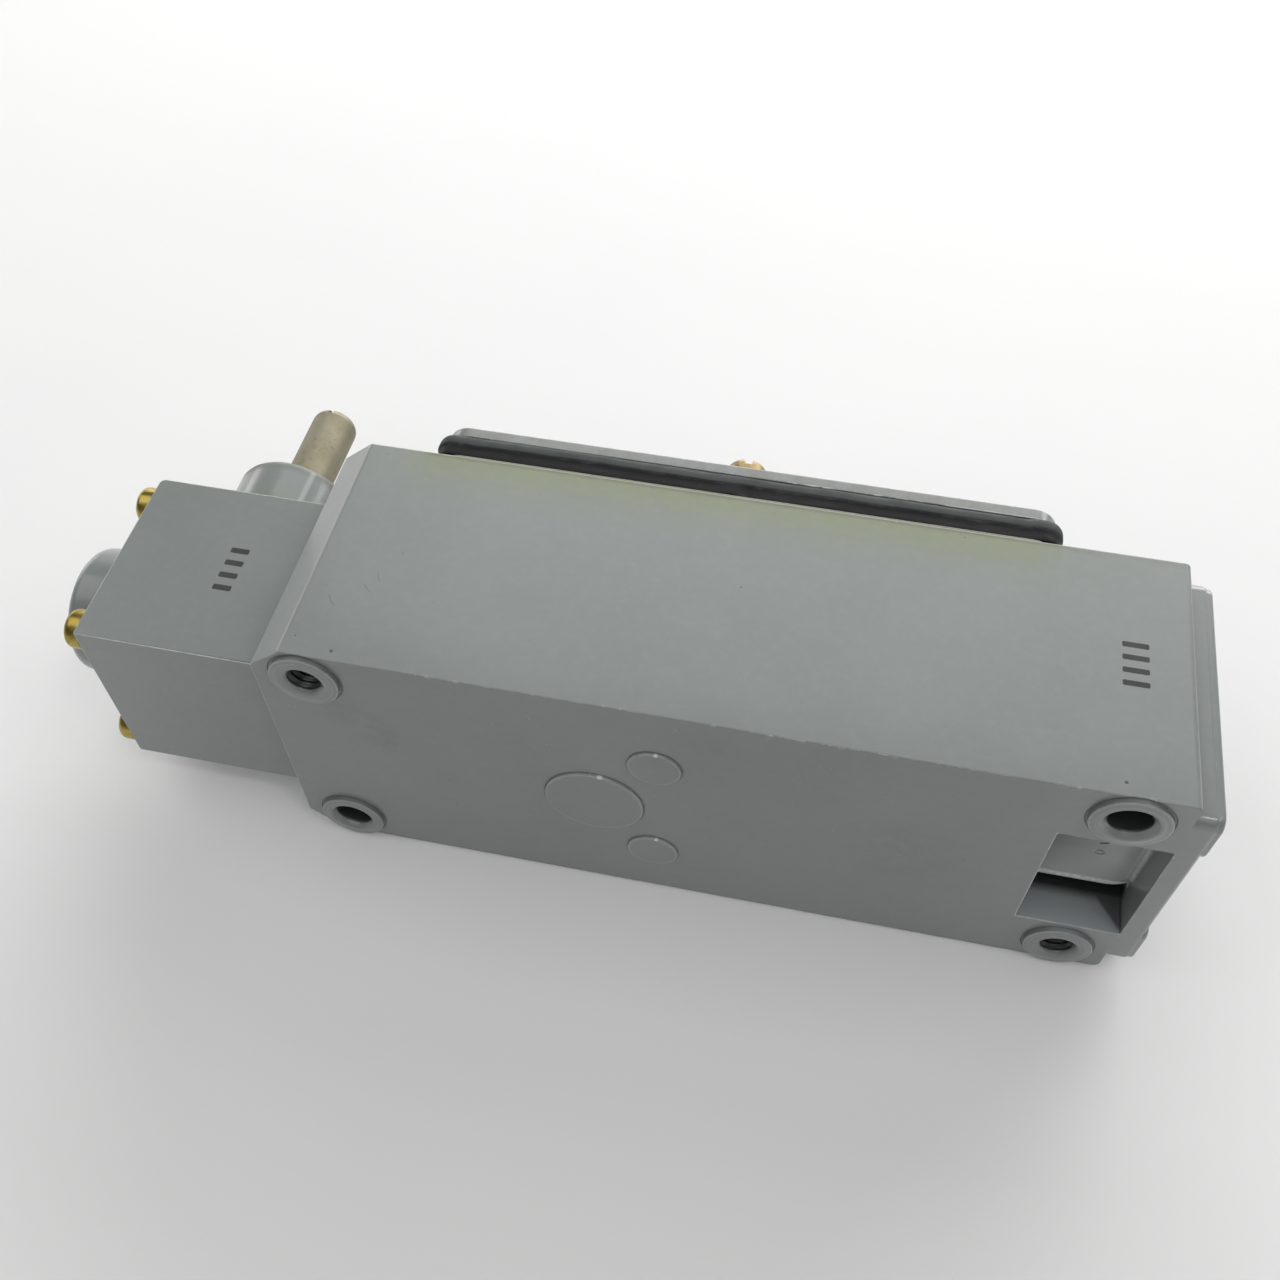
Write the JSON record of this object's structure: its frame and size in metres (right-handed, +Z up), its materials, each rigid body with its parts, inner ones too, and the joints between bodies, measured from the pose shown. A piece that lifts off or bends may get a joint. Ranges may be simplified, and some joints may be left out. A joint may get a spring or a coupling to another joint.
{
  "type": "limit switch",
  "caption": "Heavy-duty limit switch: long grey die-cast body with a gasketed screwed cover, square rotary head with a bare side shaft, rear mounting pads and conduit end.",
  "frame": {"origin": "bottom centre of the bounding box, on the side face that the switch lies on", "axes": "+X from the operating head to the conduit end, +Y from the back mounting face to the cover and shaft side, +Z up through the two long side faces"},
  "size_m": [0.203, 0.081, 0.0587],
  "materials": {
    "grey_enamel": "satin grey enamel over zinc die casting",
    "black_rubber": "matt black rubber",
    "brass": "aged yellow brass",
    "fibre": "brown vulcanised fibre",
    "shaft_steel": "dull aged steel with a tan film",
    "bright_steel": "machined steel",
    "spring_steel": "drawn spring wire",
    "bronze": "sintered bronze",
    "dark_moulding": "black phenolic moulding",
    "light_moulding": "cream melamine moulding",
    "copper": "copper alloy",
    "green_steel": "green dyed screw"
  },
  "bodies": {
    "enclosure": {"housing": "grey_enamel", "cover": "grey_enamel", "head_housing": "grey_enamel", "cover_gasket": "black_rubber", "head_gasket": "black_rubber", "shaft_seal": "black_rubber", "plunger_seal": "black_rubber", "cover_screw_1": "brass", "cover_screw_2": "brass", "head_screw_1": "brass", "head_screw_2": "brass", "head_screw_3": "brass", "head_screw_4": "brass", "cover_screw_retainer_1": "fibre", "cover_screw_retainer_2": "fibre", "contact_block_cover": "fibre", "head_spring": "spring_steel", "carrier_spring": "spring_steel", "shaft_bushing_front": "bronze", "shaft_bushing_rear": "bronze", "plunger_guide": "bronze", "contact_block": "dark_moulding", "fixed_contact_1": "brass", "fixed_contact_2": "brass", "fixed_contact_3": "brass", "fixed_contact_4": "brass", "terminal_screw_1": "bright_steel", "terminal_screw_2": "bright_steel", "terminal_screw_3": "bright_steel", "terminal_screw_4": "bright_steel", "block_screw_1": "bright_steel", "block_screw_2": "bright_steel", "ground_screw": "green_steel"},
    "shaft": {"operating_shaft": "shaft_steel", "shaft_cam": "bright_steel", "cam_pin": "spring_steel", "shaft_retaining_ring": "spring_steel"},
    "plunger": {"plunger": "bright_steel"},
    "follower": {"spring_follower": "bright_steel"},
    "carrier": {"contact_carrier": "light_moulding", "moving_contact_1": "copper", "moving_contact_2": "copper"}
  },
  "joints": [
    {"name": "shaft_turn", "type": "hinge", "parent": "enclosure", "child": "shaft", "pos_m": [-0.07294, -0.0174, 0.02935], "axis": [0, 1, 0], "range_deg": [-75, 75], "stiffness_Nm_per_rad": 0.3},
    {"name": "plunger_slide", "type": "slide", "parent": "enclosure", "child": "plunger", "axis": [1, 0, 0], "range_m": [-0.00235, 0.00235]},
    {"name": "follower_slide", "type": "slide", "parent": "enclosure", "child": "follower", "axis": [1, 0, 0], "range_m": [-0.00235, 0.00235], "deforming": ["head_spring"]},
    {"name": "carrier_slide", "type": "slide", "parent": "enclosure", "child": "carrier", "axis": [1, 0, 0], "range_m": [-0.00235, 0.00235], "deforming": ["carrier_spring"]}
  ],
  "couplings": [
    {"joint": "shaft_turn", "follows": "plunger_slide", "rad_per_m": 555.56},
    {"joint": "follower_slide", "follows": "plunger_slide", "ratio": 1},
    {"joint": "carrier_slide", "follows": "plunger_slide", "ratio": 1}
  ]
}
